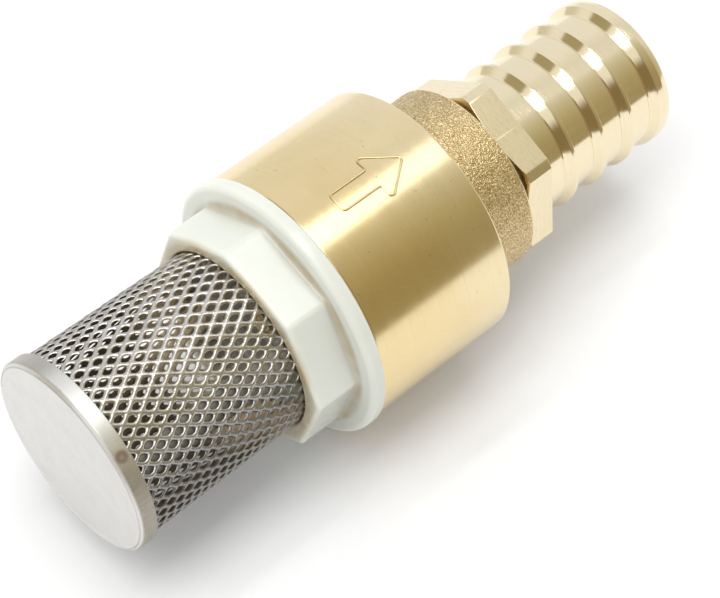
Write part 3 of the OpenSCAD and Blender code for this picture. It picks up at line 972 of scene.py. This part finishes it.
def make_spring():
    """The return spring, a round wire wound in a helix."""
    rings = COILS * COIL_STEPS + 1
    points = []
    for ring in range(rings):
        turn = 2 * math.pi * ring / COIL_STEPS
        station = spring_station(ring / COIL_STEPS)
        for side in range(WIRE_SIDES):
            across = 2 * math.pi * side / WIRE_SIDES
            points.append(round_axis(station + WIRE_R * math.sin(across),
                                     SPRING_R + WIRE_R * math.cos(across), turn))
    return clean_object("spring_wire", points, tube_faces(rings, WIRE_SIDES, False))


def dress(thing, finish, slot, *nodes):
    """Gives a new piece its finish and puts it on the valve in place of CAD nodes."""
    thing.data.materials.append(finish)
    shade(thing)
    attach(thing, "valve")
    if nodes:
        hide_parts(*nodes)


def cast_neck(body, finish):
    """Gives the rough faces of the neck their own finish."""
    body.data.materials.append(finish)
    for face in body.data.polygons:
        station = face.center.x / MM - RIM_X
        radius = math.hypot(face.center.y, face.center.z) / MM
        if BODY_END + 0.25 < station < NECK_END - 0.3 and radius > NECK_R - 0.5:
            face.material_index = 1


def shade_inside(sleeve, finish):
    """Gives the faces of the mesh that look inwards their finish of painted shade."""
    sleeve.data.materials.append(finish)
    for face in sleeve.data.polygons:
        outwards = Vector((0, face.center.y, face.center.z))
        if face.normal.dot(outwards) < 0:
            face.material_index = 1


def make_pieces(finishes):
    """The detailed pieces, and finishes for the CAD nodes that stay as they are."""
    body = make_body()
    dress(body, finishes["brass_body"], "brass_body", "valve_body")
    cast_neck(body, finishes["cast_brass"])
    dress(make_arrow(), finishes["brass_body"], "brass_body")
    dress(make_tail(), finishes["brass_tail"], "brass_tail", "hose_tail")
    dress(make_bonnet(), finishes["nylon"], "nylon", "strainer_bonnet")
    sleeve = make_mesh()
    dress(sleeve, finishes["steel_mesh"], "steel_mesh", "strainer_mesh")
    # The mesh's inward faces get painted shade
    shade_inside(sleeve, finishes["shaded_mesh_inside"])
    dress(make_seam_strip(), finishes["seam_strip"], "steel_mesh", "strainer_seam_strip")
    dress(make_cap(), finishes["steel_cap"], "steel_cap", "strainer_cap")
    spring = make_spring()
    dress(spring, finishes["steel_hardware"], "steel_hardware", "return_spring")
    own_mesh(spring)
    for part in frame["record"]["subparts"]:
        for held in frame["nodes"][part["node"]].material_slots:
            held.material = finishes[part["material_slot"]]


# ---------------------------------------------------------------- the studio


def softbox(name, towards, distance, size, power):
    """A rectangle of light in that direction from the valve, its first side along the axis."""
    light = bpy.data.lights.new(name, "AREA")
    light.shape = "RECTANGLE"
    light.size, light.size_y = size
    light.energy = power
    lamp = bpy.data.objects.new(name, light)
    facing = Vector(towards).normalized()
    side = Vector((0, 1, 0)).cross(facing).normalized()
    turn = Matrix((side, facing.cross(side), facing)).transposed().to_4x4()
    lamp.matrix_world = Matrix.Translation((cad_low + cad_high) / 2 + facing * distance) @ turn
    lamp.visible_camera = False
    bpy.context.scene.collection.objects.link(lamp)
    return lamp


def wall(tree, share, stops):
    """Colours of one wall of the studio, from the camera's side (0) to the far side (1)."""
    ramp = put(tree, "ShaderNodeValToRGB", {0: share})
    while len(ramp.color_ramp.elements) < len(stops):
        ramp.color_ramp.elements.new(1.0)
    for element, (at, colour) in zip(ramp.color_ramp.elements, stops):
        element.position = at
        element.color = (*colour, 1)
    return ramp.outputs[0]


def make_world():
    """Coloured walls for mirrors, a plain soft light for the rest and a white backdrop."""
    world = bpy.data.worlds.new("studio")
    world.use_nodes = True
    bpy.context.scene.world = world
    tree = world.node_tree
    place = put(tree, "ShaderNodeTexCoord", {})
    split = put(tree, "ShaderNodeSeparateXYZ", {0: place.outputs["Generated"]})
    share = calc(tree, "MULTIPLY", calc(tree, "ADD", split.outputs[1], 1.0), 0.5)
    hose_wall = wall(tree, share, WALL_BY_HOSE)
    strainer_wall = wall(tree, share, WALL_BY_STRAINER)
    sky = tint(tree, ease(tree, split.outputs[0], -0.3, 0.2, 1.0, 0.0), hose_wall, strainer_wall)
    soft = tint(tree, share, SOFT_LIGHT_NEAR, SOFT_LIGHT_FAR)
    sight = put(tree, "ShaderNodeLightPath", {})
    mirrored = tint(tree, sight.outputs["Is Glossy Ray"], soft, sky)
    seen = tint(tree, sight.outputs["Is Camera Ray"], mirrored, BACKDROP)
    shader = tree.nodes["Background"]
    tree.links.new(seen, shader.inputs["Color"])
    shader.inputs["Strength"].default_value = 1.0


def make_floor():
    """A flat sheet of paper under the valve."""
    half, low = FLOOR_HALF, cad_low.z
    mesh = bpy.data.meshes.new("floor")
    corners = [(-half, -half, low), (half, -half, low), (half, half, low), (-half, half, low)]
    mesh.from_pydata(corners, [], [(0, 1, 2, 3)])
    floor = bpy.data.objects.new("floor", mesh)
    bpy.context.scene.collection.objects.link(floor)
    paper = speckled(PAPER, PAPER_DARK, (0.05, 0.05, 0.05), (0.8, 0.9), 0.01)
    mesh.materials.append(material("paper", paper))


def make_camera():
    """The camera at the photo's angle."""
    camera = bpy.data.cameras.new("camera")
    camera.lens = CAMERA_LENS
    camera.sensor_width = CAMERA_SENSOR
    camera.clip_start = CAMERA_CLIP_M
    seat = bpy.data.objects.new("camera", camera)
    right, up = Vector(CAMERA_RIGHT), Vector(CAMERA_UP)
    turn = Matrix((right, up, right.cross(up))).transposed()
    at = (Vector(CAMERA_AT) + Vector((RIM_X, 0, 0))) * MM
    seat.matrix_world = Matrix.Translation(at) @ turn.to_4x4()
    bpy.context.scene.collection.objects.link(seat)
    bpy.context.scene.camera = seat


make_pieces(make_materials())
make_world()
softbox("overhead", **OVERHEAD)
softbox("key", **KEY).visible_glossy = False
make_floor()
make_camera()
bpy.context.scene.view_settings.view_transform = "Standard"
